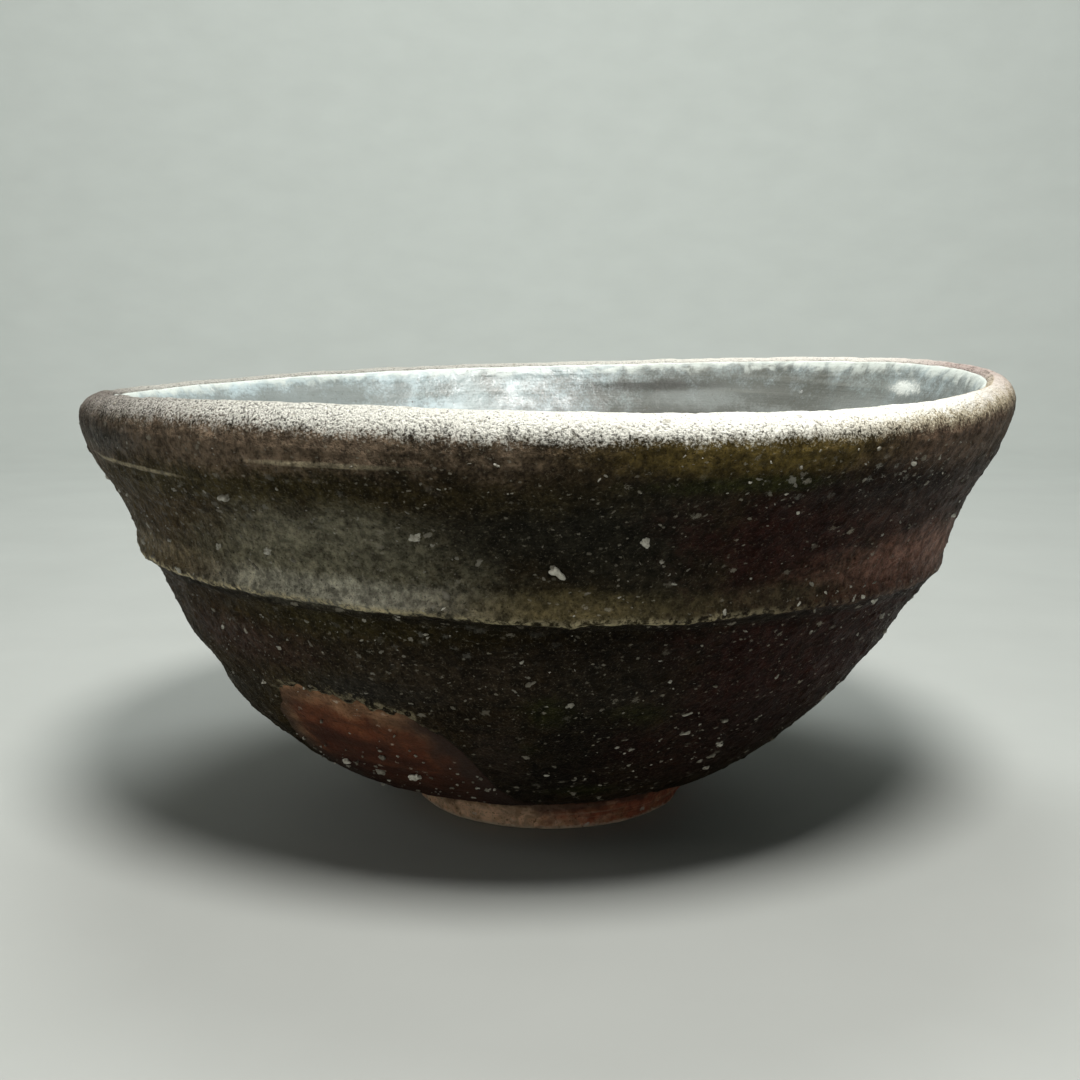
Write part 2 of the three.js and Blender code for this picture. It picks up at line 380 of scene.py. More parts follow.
def from_edge(turn, height):
    """How far above the glaze's edge a place is, square to that edge."""
    step = 1.5
    before, after = glaze_line(turn - step), glaze_line(turn + step)
    slope = (after - before) / (2 * np.radians(step) * 45)
    return (height - glaze_line(turn)) / np.sqrt(1 + slope**2)


def clay_relief(turn, height, places):
    """Turning lines and coarse grain in the bare clay, and a rise to meet the edge of the glaze."""
    above_line = from_edge(turn[:, :1], height)
    shallow = 0.5 + 0.2 * ease(turn, -20, -10)
    rise = shallow * (1 - ease(above_line, 0.2, 1.2)) * ease(height, 5.5, 7.0)
    lines = 0.10 * lumps(places, (24, 24, 1.3), 3)
    grain = 0.09 * lumps(places, 0.9, 4, 2) + 0.16 * lumps(places, 4.5, 5)
    return rise + (lines + grain) * (rise > 0.02)


CLAY_TURNS = 540
clay_rows = np.concatenate([
    np.linspace(0.05, 2.0, 14), np.linspace(2.1, 7.4, 120), np.linspace(7.6, LAST_STATION - 0.05, 48)])
clay_points, clay_height = wall_skin(even_turns(CLAY_TURNS), clay_rows, 0.0, clay_relief)
clay_edge = from_edge(even_turns(CLAY_TURNS)[:, None], clay_height)
clay_body = skin_mesh("stoneware_body", clay_points, False, wall_height=clay_height, above_edge=clay_edge)


# Effects that several finishes share.
def new_effect(name, inputs, outputs):
    """A shader node group. Gives its tree, the sockets that it takes and the sockets to be filled."""
    tree = bpy.data.node_groups.new(name, "ShaderNodeTree")
    for label, value in inputs.items():
        is_place = isinstance(value, tuple)
        kind = "NodeSocketVector" if is_place else "NodeSocketFloat"
        socket = tree.interface.new_socket(name=label, in_out="INPUT", socket_type=kind)
        if not is_place:
            socket.default_value = value
    for label, kind in outputs.items():
        tree.interface.new_socket(name=label, in_out="OUTPUT", socket_type="NodeSocket" + kind)
    entry = tree.nodes.new("NodeGroupInput")
    leave = tree.nodes.new("NodeGroupOutput")
    return tree, entry.outputs, leave.inputs


def tree_of(*values):
    """The node tree that the first socket among the values is in."""
    return next(value.id_data for value in values if isinstance(value, bpy.types.NodeSocket))


def maths(operation, a, b=0.0, c=0.0):
    return add_node(tree_of(a, b, c), "Math", {0: a, 1: b, 2: c}, operation=operation).outputs[0]


def times(a, b):
    return maths("MULTIPLY", a, b)


def times_plus(a, b, c):
    return maths("MULTIPLY_ADD", a, b, c)


def ramp(value, low, high, from_value=0.0, to_value=1.0):
    """A smooth step of a value between two limits."""
    limits = {"From Min": low, "From Max": high, "To Min": from_value, "To Max": to_value}
    node = add_node(tree_of(value), "MapRange", {"Value": value, **limits}, interpolation_type="SMOOTHSTEP")
    return node.outputs["Result"]


def multiply_places(a, b):
    return add_node(tree_of(a), "VectorMath", {0: a, 1: b}, operation="MULTIPLY").outputs[0]


def cloudy(place, scale, detail, roughness=0.5, distortion=0.0):
    """A noise texture's outputs."""
    looks = {"Scale": scale, "Detail": detail, "Roughness": roughness, "Distortion": distortion}
    return add_node(tree_of(place), "TexNoise", {"Vector": place, **looks}).outputs


def blend_colour(share, a, b, how="MIX"):
    """Mixes two colours, each of them a node's output or plain red, green and blue."""
    a, b = ((*tint, 1.0) if isinstance(tint, tuple) else tint for tint in (a, b))
    sockets = {0: share, 6: a, 7: b}
    return add_node(tree_of(share, a), "Mix", sockets, data_type="RGBA", blend_type=how).outputs[2]


def shade(tone, strength, share=1.0):
    """Darkens or lightens a colour by a value or a tint."""
    return blend_colour(share, tone, strength, "MULTIPLY")


def lay(tone, tint, mask, share=1.0):
    """Lays a tint over a colour where a mask shows, as strongly as the share says."""
    if share != 1.0:
        mask = times(mask, share)
    return blend_colour(mask, tone, tint)


def effect(at, group, **values):
    """Places an effect in a material, with its own values, and gives its one output."""
    node = add_node(tree_of(at["Place"]), "Group", {"Place": at["Place"]}, node_tree=group)
    for label, value in values.items():
        plug(node.inputs[label.replace("_", " ")], value)
    return node.outputs[0]


# Place on the wall: the turn round the bowl's axis, the height up the wall, how far above the edge of
# the glaze, and the plain place in millimetres, which every other effect starts from.
STORED = {"Height": "wall_height", "Above Edge": "above_edge", "Above Ridge": "above_ridge"}
wall_place, _, out = new_effect(
    "place on the wall", {}, {"Turn": "Float", **dict.fromkeys(STORED, "Float"), "Place": "Vector"})
from_origin = add_node(wall_place, "TexCoord").outputs["Object"]
from_axis = add_node(wall_place, "VectorMath", {0: from_origin, 1: AXIS}, operation="SUBTRACT").outputs[0]
in_mm = add_node(wall_place, "VectorMath", {0: from_axis, "Scale": 1000.0}, operation="SCALE").outputs[0]
parts = add_node(wall_place, "SeparateXYZ", {0: in_mm}).outputs
toward_front = times(parts["Y"], -1.0)
plug(out["Turn"], maths("DEGREES", maths("ARCTAN2", parts["X"], toward_front)))
for label, attribute in STORED.items():
    plug(out[label], add_node(wall_place, "Attribute", attribute_name=attribute).outputs["Fac"])
plug(out["Place"], in_mm)

# Soft patch: a soft-edged, ragged oval on the wall, where the flame, the ash or the damp of the clay
# left its own colour. A few patches are painted light or shade instead.
soft_patch, given, out = new_effect(
    "soft patch",
    {"Place": (), "Turn": 0.0, "Height": 0.0, "Middle Turn": 0.0, "Middle Height": 40.0,
     "Half Turn": 10.0, "Half Height": 4.0, "Feather": 0.5, "Ragged": 0.4},
    {"Mask": "Float"})
gap = maths("WRAP", maths("SUBTRACT", given["Turn"], given["Middle Turn"]), 180.0, -180.0)
across = maths("DIVIDE", gap, given["Half Turn"])
rise = maths("SUBTRACT", given["Height"], given["Middle Height"])
upward = maths("DIVIDE", rise, given["Half Height"])
square = maths("ADD", times(across, across), times(upward, upward))
cloud = cloudy(given["Place"], 0.16, 8.0, 0.7)["Fac"]
both = times_plus(cloudy(given["Place"], 2.2, 2.0)["Fac"], 0.35, cloud)
stray = times(maths("SUBTRACT", both, 0.675), given["Ragged"])
reach = maths("ADD", maths("SQRT", square), times(stray, 4.0))
inner = maths("SUBTRACT", 1.0, given["Feather"])
outer = maths("ADD", 1.0, given["Feather"])
plug(out["Mask"], ramp(reach, outer, inner))

# Streaks: unevenness drawn out along the throwing lines.
streaks, given, out = new_effect(
    "throwing streaks", {"Place": (), "Length": 30.0, "Pitch": 1.5}, {"Value": "Float"})
along = maths("DIVIDE", 1.0, given["Length"])
upward = maths("DIVIDE", 1.0, given["Pitch"])
thin = add_node(streaks, "CombineXYZ", {0: along, 1: along, 2: upward}).outputs[0]
plug(out["Value"], cloudy(multiply_places(given["Place"], thin), 1.0, 4.0, 0.6)["Fac"])

# Specks: grains of feldspar or burnt iron, each a small ragged fleck drawn out along the throwing
# lines. They lie thick in some places and thin in others, and some show more strongly than others.
specks, given, out = new_effect(
    "mineral specks", {"Place": (), "Size": 0.5, "Apart": 2.5, "Share": 0.5, "Drawn Out": 1.4, "Seed": 0.0},
    {"Mask": "Float"})
upright = add_node(specks, "CombineXYZ", {0: 1.0, 1: 1.0, 2: given["Drawn Out"]}).outputs[0]
flattened = multiply_places(given["Place"], upright)
jolt = cloudy(given["Place"], 2.6, 3.0, 0.7)["Color"]
jolt = add_node(specks, "VectorMath", {0: jolt, "Scale": given["Size"]}, operation="SCALE").outputs[0]
jolted = {0: jolt, 1: (2.6, 2.6, 2.6), 2: flattened}
moved = add_node(specks, "VectorMath", jolted, operation="MULTIPLY_ADD").outputs[0]
shifted = add_node(specks, "VectorMath", {0: moved, 1: given["Seed"]}, operation="ADD").outputs[0]
nearness = maths("DIVIDE", 1.0, given["Apart"])
cells = add_node(specks, "TexVoronoi", {"Vector": shifted, "Scale": nearness})
lot = add_node(specks, "SeparateXYZ", {0: cells.outputs["Color"]}).outputs
far = times(cells.outputs["Distance"], given["Apart"])
own_size = times(given["Size"], times_plus(lot["Y"], 0.9, 0.3))
dot = ramp(far, own_size, times(own_size, 0.5))
gathered = cloudy(shifted, 0.13, 2.0)["Fac"]
share_here = times(given["Share"], ramp(gathered, 0.36, 0.60, 0.25, 1.6))
chosen = maths("LESS_THAN", lot["X"], share_here)
strength = times_plus(lot["Z"], 0.75, 0.25)
plug(out["Mask"], times(times(dot, chosen), strength))

# Grit: the sandy tooth of a dry or thinly glazed surface.
grit, given, out = new_effect("sandy grit", {"Place": (), "Size": 0.5, "Contrast": 1.0}, {"Value": "Float"})
sand = cloudy(given["Place"], maths("DIVIDE", 1.0, given["Size"]), 3.0, 0.7)["Fac"]
plug(out["Value"], times_plus(maths("SUBTRACT", sand, 0.5), given["Contrast"], 0.5))

# Mottle: broad uneven colour from the fire.
mottle, given, out = new_effect("fired mottle", {"Place": (), "Size": 12.0}, {"Value": "Float"})
fire = cloudy(given["Place"], maths("DIVIDE", 1.0, given["Size"]), 5.0, 0.6, 0.6)["Fac"]
plug(out["Value"], ramp(fire, 0.32, 0.68))


def finish_surface(shader, tone, roughness, relief):
    """Joins a finish's colour, roughness and fine relief, in millimetres, to its shader."""
    plug(shader.inputs["Base Color"], tone)
    plug(shader.inputs["Roughness"], roughness)
    bump = add_node(tree_of(relief), "Bump", {"Distance": MM, "Height": relief})
    plug(shader.inputs["Normal"], bump.outputs["Normal"])


def patch_mask(at, turn, height, half_turn, half_height, feather, ragged, level=None):
    """Where one kiln patch shows. It is placed by the plain height on the wall unless a level is given."""
    return effect(
        at, soft_patch, Turn=at["Turn"], Height=at["Height"] if level is None else level,
        Middle_Turn=turn, Middle_Height=height, Half_Turn=half_turn, Half_Height=half_height,
        Feather=feather, Ragged=ragged)


def patches(at, tone, marks):
    """Lays soft patches over a colour in turn, each as its turn, height, half turn, half height, feather,
    ragged, share and tint. Most are the glaze's own colour, and a few are painted light or shade."""
    for *spread, share, tint in marks:
        tone = lay(tone, tint, patch_mask(at, *spread), share)
    return tone


# Bare clay: pale orange just under the glaze's edge, redder and browner lower down, nearly black at the
# left end and close to the foot. The darkening close to the foot is partly painted shade, where the
# wall turns under.
bare_clay, tree, shader = new_material("bare_clay", Roughness=0.78, Specular_IOR_Level=0.15)
at = add_node(tree, "Group", node_tree=wall_place).outputs
clay_mottle = effect(at, mottle, Size=7.0)
clay_streak = effect(at, streaks, Length=60.0, Pitch=1.0)
clay_grain = effect(at, grit, Size=0.45, Contrast=1.6)
tone = blend_colour(clay_mottle, (0.078, 0.0195, 0.0075), (0.050, 0.0145, 0.0065))
near_edge = times_plus(clay_mottle, 2.2, at["Above Edge"])
tone = lay(tone, (0.150, 0.048, 0.019), ramp(near_edge, -7.0, -1.5))
tone = lay(tone, (0.29, 0.160, 0.085), ramp(near_edge, -2.6, 0.4), 0.85)
tone = lay(tone, (0.14, 0.048, 0.021), ramp(clay_streak, 0.55, 0.75), 0.5)
# Partly the clay's own colour and partly painted shade: darker towards the foot, where the wall faces the
# floor.
low_down = ramp(times_plus(clay_mottle, 3.0, at["Height"]), 18.5, 12.5)
tone = lay(tone, (0.024, 0.010, 0.005), low_down, 0.85)
to_right = ramp(times_plus(clay_mottle, 5.0, at["Turn"]), -20.0, -9.0)
tone = lay(tone, (0.030, 0.012, 0.008), to_right, 0.8)
# Darker towards the left end of the patch.
to_left = ramp(times_plus(clay_mottle, 4.0, at["Turn"]), -39.0, -46.0)
tone = lay(tone, (0.026, 0.020, 0.014), to_left, 0.85)
dark_streak = effect(at, streaks, Length=8.0, Pitch=3.0)
tone = shade(tone, ramp(dark_streak, 0.34, 0.66, 0.55, 1.30))
scorched = effect(at, mottle, Size=2.2)
tone = lay(tone, (0.050, 0.022, 0.012), ramp(scorched, 0.55, 0.95), 0.45)
right_side = ramp(times_plus(clay_mottle, 4.0, at["Turn"]), -25.0, -13.0)
smoked = times(right_side, ramp(near_edge, -5.0, 0.0))
tone = lay(tone, (0.027, 0.015, 0.011), smoked, 0.95)
clay_specks = effect(at, specks, Size=0.5, Apart=2.2, Share=0.35, Seed=3.0)
tone = lay(tone, (0.50, 0.42, 0.33), clay_specks, 0.8)
tone = lay(tone, (0.035, 0.018, 0.012), ramp(clay_grain, 0.50, 0.05))
clay_tooth = times_plus(clay_grain, 0.16, times(clay_streak, 0.15))
finish_surface(
    shader, tone, roughness=ramp(clay_grain, 0.2, 0.8, 0.9, 0.65),
    relief=times_plus(clay_specks, 0.12, clay_tooth))
finish_piece(clay_body, bare_clay, "bare_clay", "clay_body")

# ---------------------------------------------------------------- The foot ring
# A low ring of the same clay, turned separately, luted on with slip and wiped clean of glaze. It
# fired to buff on one side and orange on the other, with a resting edge painted pale, partly as wear
# and partly as a painted highlight, and a few chips.
FOOT_TURNS = 420
FOOT_SECTION = [
    (15.6, 5.05), (15.8, 3.2), (16.1, 0.9), (16.5, 0.25), (17.1, 0.0), (19.0, 0.0), (20.7, 0.0),
    (21.35, 0.2), (21.75, 0.8), (22.1, 2.2), (22.5, 3.6), (23.0, 4.6), (23.6, 5.3),
]


def foot_points():
    section = smooth_outline(FOOT_SECTION, 6)
    turn = even_turns(FOOT_TURNS)[:, None]
    radius, height = section[None, :, 0], section[None, :, 1]
    plain = around(turn, radius, height)
    uneven = 0.40 * lumps(plain, 6.0, 11) + 0.20 * lumps(plain, (4, 4, 1.4), 12, 2)
    uneven += 0.14 * lumps(plain, 1.1, 13, 2)
    chips = -0.7 * ease(lumps(plain, 3.2, 14, 2), 0.45, 0.8) * hump(height, 0.3, 1.2)
    held = ease(height, 0.0, 0.5)
    middle = np.array([19.2, 2.5])
    out = np.stack([radius - middle[0], 0.6 * (height - middle[1])], -1) + np.zeros(turn.shape + (1,))
    out /= np.linalg.norm(out, axis=-1, keepdims=True)
    depth = (uneven + chips) * (0.25 + 0.75 * held)
    grown = radius + out[..., 0] * depth
    lifted = np.maximum(height + out[..., 1] * depth * held - 0.9 * chips * (1 - held), 0)
    return around(turn, grown, lifted)


foot_grid = foot_points() + np.array([FOOT_SHIFT / MM, 0, 0])
foot = skin_mesh("luted_foot", foot_grid, True, wall_height=foot_grid[..., 2])
foot_clay, tree, shader = new_material("foot_clay", Roughness=0.85, Specular_IOR_Level=0.2)
at = add_node(tree, "Group", node_tree=wall_place).outputs
foot_mottle = effect(at, mottle, Size=6.0)
foot_grain = effect(at, grit, Size=0.5, Contrast=1.8)
foot_streak = effect(at, streaks, Length=50.0, Pitch=0.8)
sideways = add_node(tree, "SeparateXYZ", {0: at["Place"]}).outputs["X"]
from_left = maths("ADD", sideways, times(foot_mottle, 9.0))
tone = blend_colour(ramp(from_left, 2.0, 15.0), (0.70, 0.47, 0.31), (0.31, 0.095, 0.050))
blush = ramp(effect(at, mottle, Size=3.0), 0.35, 0.9)
tone = lay(tone, (0.36, 0.19, 0.095), blush, 0.45)
tone = lay(tone, (0.66, 0.50, 0.34), ramp(foot_streak, 0.5, 0.7), 0.4)
foot_cloud = effect(at, mottle, Size=1.6)
tone = shade(tone, ramp(foot_cloud, 0.0, 1.0, 0.78, 1.32))
tone = lay(tone, (0.13, 0.06, 0.03), ramp(foot_grain, 0.42, 0.05))
foot_specks = effect(at, specks, Size=0.6, Apart=2.2, Share=0.4, Seed=9.0)
tone = lay(tone, (0.72, 0.66, 0.55), foot_specks)
# Partly wear and partly painted highlight: the lowest edge of the ring is made pale.
scuffed_and_lit = ramp(times_plus(foot_grain, -0.8, at["Height"]), 0.6, -0.1)
tone = lay(tone, (0.78, 0.68, 0.54), scuffed_and_lit, 0.75)
# Painted shade: the top of the ring, where it tucks under the body, is darkened.
tucked = ramp(times_plus(foot_mottle, 1.2, at["Height"]), 3.3, 5.0)
tone = lay(tone, (0.05, 0.028, 0.02), tucked, 0.8)
foot_tooth = times_plus(foot_grain, 0.22, times(foot_streak, 0.2))
finish_surface(
    shader, tone, roughness=ramp(foot_grain, 0.2, 0.8, 0.92, 0.7),
    relief=times_plus(foot_specks, 0.12, foot_tooth))
finish_piece(foot, foot_clay, "foot_clay", "foot_ring")

# ---------------------------------------------------------------- The outer glaze
# Ash and feldspar melted over the outside in a wood kiln: a thin, half-dry skin from the foot to the
# lip, dark where it ran thin over iron clay, frosted or ochre where ash lay, and gritty all over. Its
# colour also holds painted light: a highlight along the front of the lip and the ridge's edge, glints
# and lit lumps on the sand, a sheen on the frost, a lighter left side, and painted shade under the
# ridge and in the pits.
RIDGE_SEAM = 1.5


def lip_relief(places):
    """The lip's lumps and coarse sand, shared by the two coats that meet on it."""
    return 0.22 * lumps(places, 7.0, 29) + 0.10 * lumps(places, 2.2, 30) + 0.07 * lumps(places, 0.8, 26, 2)


def outside_relief(turn, height, places):
    """The coat's own surface: finger rings, the ridge's crisp edge, drawn lines, sand and pits."""
    front = 0.5 + 0.5 * np.cos(np.radians(turn + 15))
    right, left = hump(turn_gap(turn, 88), 0, 34), hump(turn_gap(turn, -92), 0, 34)
    from_ridge = height - ridge_line(turn)
    over_ridge = (0.12 + 0.32 * front) * hump(from_ridge, 0.55, 1.1)
    over_ridge -= 0.30 * (right + left) * hump(height, 42.3, 1.6)
    under_ridge = -(0.20 + 0.45 * front) * hump(from_ridge, -1.35, 1.0)
    under_ridge += 0.6 * right * hump(height, 39.2, 1.7)
    hollow = -0.5 * left * hump(height, 35, 5)
    rings = 0.14 * lumps(places, (70, 70, 4.5), 21) + 0.08 * lumps(places, (70, 70, 1.7), 22)
    lines = 0.05 * lumps(places, (60, 60, 0.7), 23)
    lump = 0.22 * lumps(places, 10.0, 24) + 0.09 * lumps(places, 2.6, 25)
    sand = 0.09 * lumps(places, 0.8, 26, 2)
    crust = 0.20 * ease(lumps(places, (2.2, 2.2, 1.4), 27, 2), 0.30, 0.75)
    dents = -0.30 * ease(lumps(places, (8, 8, 3.5), 28), 0.5, 0.9)
    drawn = 0.25 * hump(height, 60.5 + 0.03 * (turn + 20), 0.32) * hump(turn, -21, 10)
    scored = 0.22 * hump(height, 58.6 - 0.06 * (turn + 56), 0.32) * hump(turn, -52, 10)
    branch = 0.20 * hump(height, 59.3 + 0.5 * (turn + 49), 0.5) * hump(turn, -49, 2.2)
    marks = np.maximum(np.maximum(drawn, scored), branch)
    wall = over_ridge + under_ridge + hollow + rings + lines + lump + sand + crust + dents + marks
    at_lip = ease(height, 61, 65)
    return wall * (1 - at_lip) + lip_relief(places) * at_lip


def coat_shell(name, turns, first, last, rows, edge=False, tuck=None):
    """One closed shell of glaze between two stations: a fine face and a plain back. A bare edge thins out
    over its last millimetre, and a tucked one sinks under the next coat over the last tuck stations."""
    share = np.linspace(0, 1, rows)
    stations = first[:, None] + (last - first)[:, None] * share
    turn = turns[:, None] + 0 * stations
    radius, height = wall_section(stations, COAT_FACE)
    height = np.where(stations > CREST_STATION, 2 * RIM_HEIGHT - height, height)
    places = thrown(turn, radius, wall_section(stations, COAT_FACE)[1])
    depth = outside_relief(turn[:, :1], height, places)
    climb = from_edge(turns[:, None], height)
    sink = np.zeros_like(height)
    if edge:
        thin = np.sqrt(np.clip((climb + 0.05) / 0.9, 0.02, 1))
        depth = depth * thin + 0.12 * hump(climb, 1.0, 0.8)
        sink = (COAT_FACE - COAT_BACK) * (1 - thin)
    if tuck:
        sink = 0.35 * ease(stations, stations[:, -1:] - tuck, stations[:, -1:])
    face = places + surface_normals(places) * (depth - sink)[..., None]
    back_stations = stations[:, ::-8]
    back_radius, back_height = wall_section(back_stations, COAT_BACK)
    back = thrown(turns[:, None] + 0 * back_stations, back_radius, back_height)
    back_climb = from_edge(turns[:, None], back_height)
    return skin_mesh(
        name, np.concatenate([face, back], axis=1), True, flat_rows=(rows - 1, rows + back.shape[1] - 1),
        wall_height=np.concatenate([height, back_height], axis=1),
        above_edge=np.concatenate([climb, back_climb], axis=1),
        above_ridge=np.concatenate([height, back_height], axis=1) - ridge_line(turns)[:, None])


COAT_TURNS = 840
LOWER_ROWS = 112
UPPER_ROWS = 118
LIP_REACH = 0.9
SEAM_TUCK = 0.5
coat_turns = even_turns(COAT_TURNS)
coat_start = station_at(glaze_line(coat_turns))
seam = station_at(ridge_line(coat_turns) - RIDGE_SEAM)
coat_end = np.full(COAT_TURNS, CREST_STATION + LIP_REACH)
lower_coat = coat_shell("glaze_below_ridge", coat_turns, coat_start, seam, LOWER_ROWS, edge=True)
upper_coat = coat_shell("glaze_above_ridge", coat_turns, seam, coat_end, UPPER_ROWS, tuck=SEAM_TUCK)

# The outer coat's colours, by where they lie on the wall.
ash_glaze, tree, shader = new_material("ash_glaze", Specular_IOR_Level=0.05)
at = add_node(tree, "Group", node_tree=wall_place).outputs
fire_mottle = effect(at, mottle, Size=14.0)
fine_mottle = effect(at, mottle, Size=2.6)
glaze_streak = effect(at, streaks, Length=80.0, Pitch=1.3)
glaze_grain = effect(at, grit, Size=0.34, Contrast=2.6)
clump = effect(at, grit, Size=1.1, Contrast=1.6)
side = maths("SINE", maths("RADIANS", at["Turn"]))
charcoal = (0.017, 0.0155, 0.0105)
olive = (0.040, 0.032, 0.011)
umber = (0.036, 0.024, 0.011)
brown = (0.039, 0.025, 0.009)
plum = (0.022, 0.0062, 0.0046)
maroon = (0.028, 0.0052, 0.0026)
mauve = (0.31, 0.160, 0.115)
frost = (0.215, 0.205, 0.155)
ochre = (0.118, 0.088, 0.028)
moss = (0.022, 0.026, 0.005)
tone = blend_colour(fire_mottle, (0.017, 0.013, 0.007), (0.028, 0.020, 0.009))
tone = lay(tone, umber, ramp(glaze_streak, 0.5, 0.72), 0.4)
KILN_AND_SHEEN_MARKS = [
    (-58, 52, 24, 10, 0.7, 0.4, 0.9, brown),
    (-80, 52, 18, 13, 0.6, 0.4, 0.6, (0.064, 0.047, 0.025)),
    (-34, 57.2, 20, 2.8, 0.6, 0.6, 0.8, (0.032, 0.025, 0.008)),
    # These three frost marks over the front-left ridge are partly the glaze's ash frost and partly a
    # painted sheen, the overhead lamp's reflection on the slope above the ridge.
    (-24, 50.5, 14, 4.0, 0.7, 0.5, 0.85, (0.150, 0.140, 0.098)),
    (-27, 46.2, 17, 3.0, 0.7, 0.5, 0.85, (0.145, 0.135, 0.092)),
    (-26, 43.5, 19, 2.0, 0.6, 0.5, 0.95, (0.31, 0.295, 0.235)),
    (-56, 44.3, 15, 2.4, 0.6, 0.5, 0.8, (0.135, 0.105, 0.060)),
    (5, 43.3, 15, 2.0, 0.6, 0.5, 0.85, (0.108, 0.086, 0.040)),
    (3, 53.5, 13, 5.5, 0.5, 0.5, 0.9, charcoal),
    (13, 50, 8, 7, 0.6, 0.5, 0.7, charcoal),
    (27, 52, 12, 7.0, 0.6, 0.6, 0.95, plum),
    (45, 53, 14, 8, 0.7, 0.5, 0.8, (0.042, 0.018, 0.013)),
    (68, 50, 14, 10, 0.7, 0.5, 0.7, (0.075, 0.048, 0.040)),
    (54, 45.5, 18, 3.8, 0.7, 0.4, 0.9, mauve),
    (30, 43.6, 9, 1.6, 0.6, 0.7, 0.8, (0.070, 0.054, 0.031)),
    (42, 30, 18, 1.4, 0.7, 0.4, 0.7, (0.046, 0.015, 0.010)),
    (37, 57.4, 13, 3.0, 0.7, 0.6, 0.85, (0.014, 0.0075, 0.005)),
    (-6, 57.5, 12, 2.2, 0.6, 0.7, 0.6, (0.032, 0.023, 0.008)),
    (-3, 61.6, 14, 2.8, 0.6, 0.6, 0.8, (0.038, 0.026, 0.014)),
    (-32, 62.5, 26, 2.8, 0.6, 0.8, 0.85, (0.160, 0.115, 0.078)),
    (-74, 62, 20, 4, 0.6, 0.6, 0.8, (0.125, 0.098, 0.080)),
    (-56, 61.6, 8, 1.6, 0.7, 0.9, 0.7, (0.060, 0.058, 0.052)),
    (21, 62.2, 15, 2.5, 0.5, 0.4, 0.95, (0.083, 0.059, 0.016)),
    (20, 58.6, 9, 1.0, 0.6, 0.9, 0.7, moss),
    (54, 62, 18, 3.2, 0.6, 0.5, 0.8, (0.145, 0.095, 0.066)),
    (-50, 36, 15, 6, 0.7, 0.5, 0.85, (0.024, 0.012, 0.003)),
    (-14, 38.9, 28, 1.9, 0.6, 0.5, 0.8, (0.026, 0.021, 0.006)),
    (10, 37.5, 14, 3.0, 0.6, 0.6, 0.8, (0.012, 0.0085, 0.0045)),
    (28, 32, 13, 10, 0.6, 0.6, 0.85, plum),
    (48, 34, 16, 12, 0.7, 0.4, 0.85, maroon),
    (-12, 32, 15, 3.2, 0.7, 0.7, 0.6, (0.042, 0.033, 0.021)),
    (-44, 34, 13, 2.4, 0.7, 0.6, 0.6, (0.040, 0.022, 0.018)),
    (-25, 29.5, 9, 2.0, 0.7, 0.7, 0.6, (0.022, 0.022, 0.020)),
    (10, 30, 10, 5, 0.6, 0.6, 0.6, charcoal),
    (0, 27.5, 3.2, 2.2, 0.6, 1.0, 0.85, moss),
    (13, 26.5, 4.5, 1.8, 0.6, 1.0, 0.8, moss),
    (-3, 21.5, 2.5, 1.6, 0.6, 1.0, 0.7, moss),
    (5, 21, 10, 5, 0.6, 0.7, 0.85, (0.005, 0.004, 0.0022)),
    (0, 14, 13, 4, 0.6, 0.6, 0.75, (0.006, 0.005, 0.003)),
    (8, 12.0, 9, 1.2, 0.6, 0.8, 0.7, moss),
    (30, 20, 20, 7, 0.6, 0.6, 0.85, (0.015, 0.0045, 0.0028)),
    (-7, 20, 4, 5, 0.6, 0.8, 0.6, (0.040, 0.030, 0.022)),
    (118, 52, 26, 9, 0.7, 0.8, 0.5, frost),
    (150, 43.3, 30, 2.2, 0.6, 0.5, 0.8, ochre),
    (178, 54, 22, 7, 0.6, 0.6, 0.8, maroon),
    (-150, 50, 26, 8, 0.7, 0.6, 0.8, plum),
    (-112, 60, 28, 4, 0.7, 0.6, 0.8, ochre),
    (-110, 44, 24, 2.4, 0.7, 0.6, 0.7, frost),
    (-105, 30, 24, 9, 0.7, 0.6, 0.8, umber),
    (100, 26, 26, 8, 0.6, 0.7, 0.8, moss),
    (150, 60, 26, 4, 0.6, 0.7, 0.8, olive),
    (165, 28, 26, 9, 0.6, 0.7, 0.8, (0.015, 0.011, 0.006)),
    (-165, 24, 18, 7, 0.6, 0.8, 0.4, frost),
]
tone = patches(at, tone, KILN_AND_SHEEN_MARKS)
drawn_line = patch_mask(at, -21.0, 60.5, 8.0, 0.32, 0.45, 0.3)
scored_slope = times_plus(maths("ADD", at["Turn"], 56.0), 0.06, at["Height"])
scored_line = patch_mask(at, -52.0, 58.6, 10.0, 0.30, 0.45, 0.3, scored_slope)
scratch = times(maths("MAXIMUM", drawn_line, scored_line), 0.8)
tone = lay(tone, (0.28, 0.24, 0.16), scratch)
# Painted highlight: a thin, broken pale line along the ridge's edge, strongest on the front left, where the
# lamp catches it.
ridge_height = times_plus(clump, 0.6, at["Above Ridge"])
ridge_edge = times(ramp(ridge_height, -0.25, 0.1), ramp(ridge_height, 1.3, 0.4))
ridge_turn = maths("ABSOLUTE", maths("ADD", at["Turn"], 30.0))
ridge_front = ramp(ridge_turn, 68.0, 38.0, 0.12, 0.9)
ridge_edge_highlight = times(ridge_edge, times(ridge_front, ramp(clump, 0.35, 0.62, 0.0, 1.0)))
tone = lay(tone, (0.36, 0.31, 0.19), ridge_edge_highlight)
# Painted shadow: a dark band just under the ridge's edge.
under_ridge_shadow = times(ramp(ridge_height, 0.0, -0.4), ramp(ridge_height, -2.2, -1.2))
tone = lay(tone, (0.010, 0.008, 0.005), under_ridge_shadow, 0.7)
# Painted light and shade on the sandy lumps: where the clumps stand up in the relief the colour is lighter,
# and between them darker.
tone = shade(tone, ramp(clump, 0.22, 0.80, 0.58, 1.6))
tone = shade(tone, ramp(fine_mottle, 0.1, 0.9, 0.80, 1.22))
